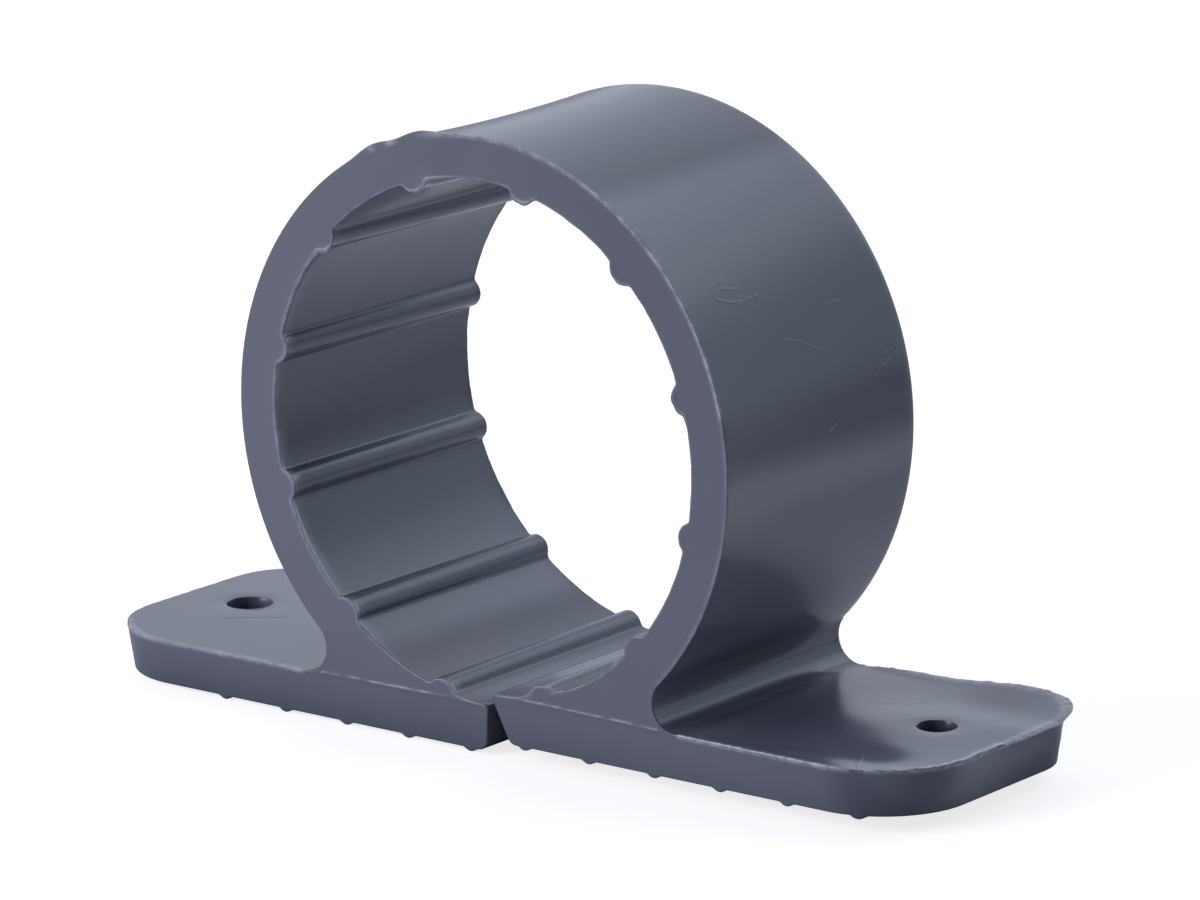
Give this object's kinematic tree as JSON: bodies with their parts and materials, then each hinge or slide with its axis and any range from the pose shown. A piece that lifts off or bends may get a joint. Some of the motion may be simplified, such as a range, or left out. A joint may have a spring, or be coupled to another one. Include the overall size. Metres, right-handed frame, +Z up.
{
  "type": "pipe clip",
  "caption": "One-piece moulded plastic pipe clip: a split, ribbed ring that springs over a pipe, standing on flat feet with screw holes and grip ridges underneath.",
  "frame": {"origin": "under the pipe axis, halfway along the ring's width, on the surface that the left foot's ridges stand on", "axes": "+X along the feet towards the right-hand foot, +Y along the pipe away from the pictured front face, +Z up from the mounting surface through the pipe axis"},
  "size_m": [0.1029, 0.0314, 0.0615],
  "materials": {
    "plastic": "satin bluish grey moulded plastic, as moulded with flash left on"
  },
  "bodies": {
    "root": {"pipe_clip": "plastic"}
  },
  "joints": []
}
